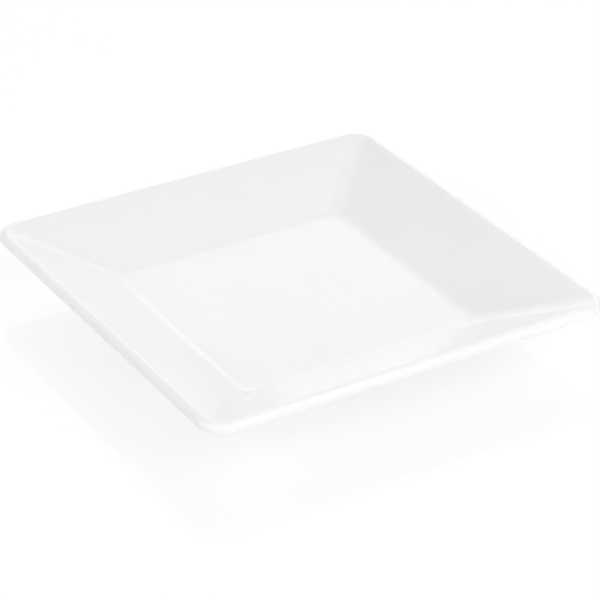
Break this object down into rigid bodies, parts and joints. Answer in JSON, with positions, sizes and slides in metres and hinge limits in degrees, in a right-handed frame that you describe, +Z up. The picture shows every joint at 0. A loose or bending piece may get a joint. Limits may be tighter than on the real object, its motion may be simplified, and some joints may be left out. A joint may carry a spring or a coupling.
{
  "type": "square plate",
  "caption": "Square plate with a flat well, a wide sloping rim that meets in rounded mitres at the corners, a rounded lip with an upright edge, and a square foot ring.",
  "frame": {"origin": "on the table, under the middle of the foot ring", "axes": "+Z up out of the well, X and Y along the sides"},
  "size_m": [0.23, 0.23, 0.034],
  "materials": {
    "melamine": "gloss white, moulded"
  },
  "bodies": {
    "root": {"plate": "melamine"}
  },
  "joints": []
}
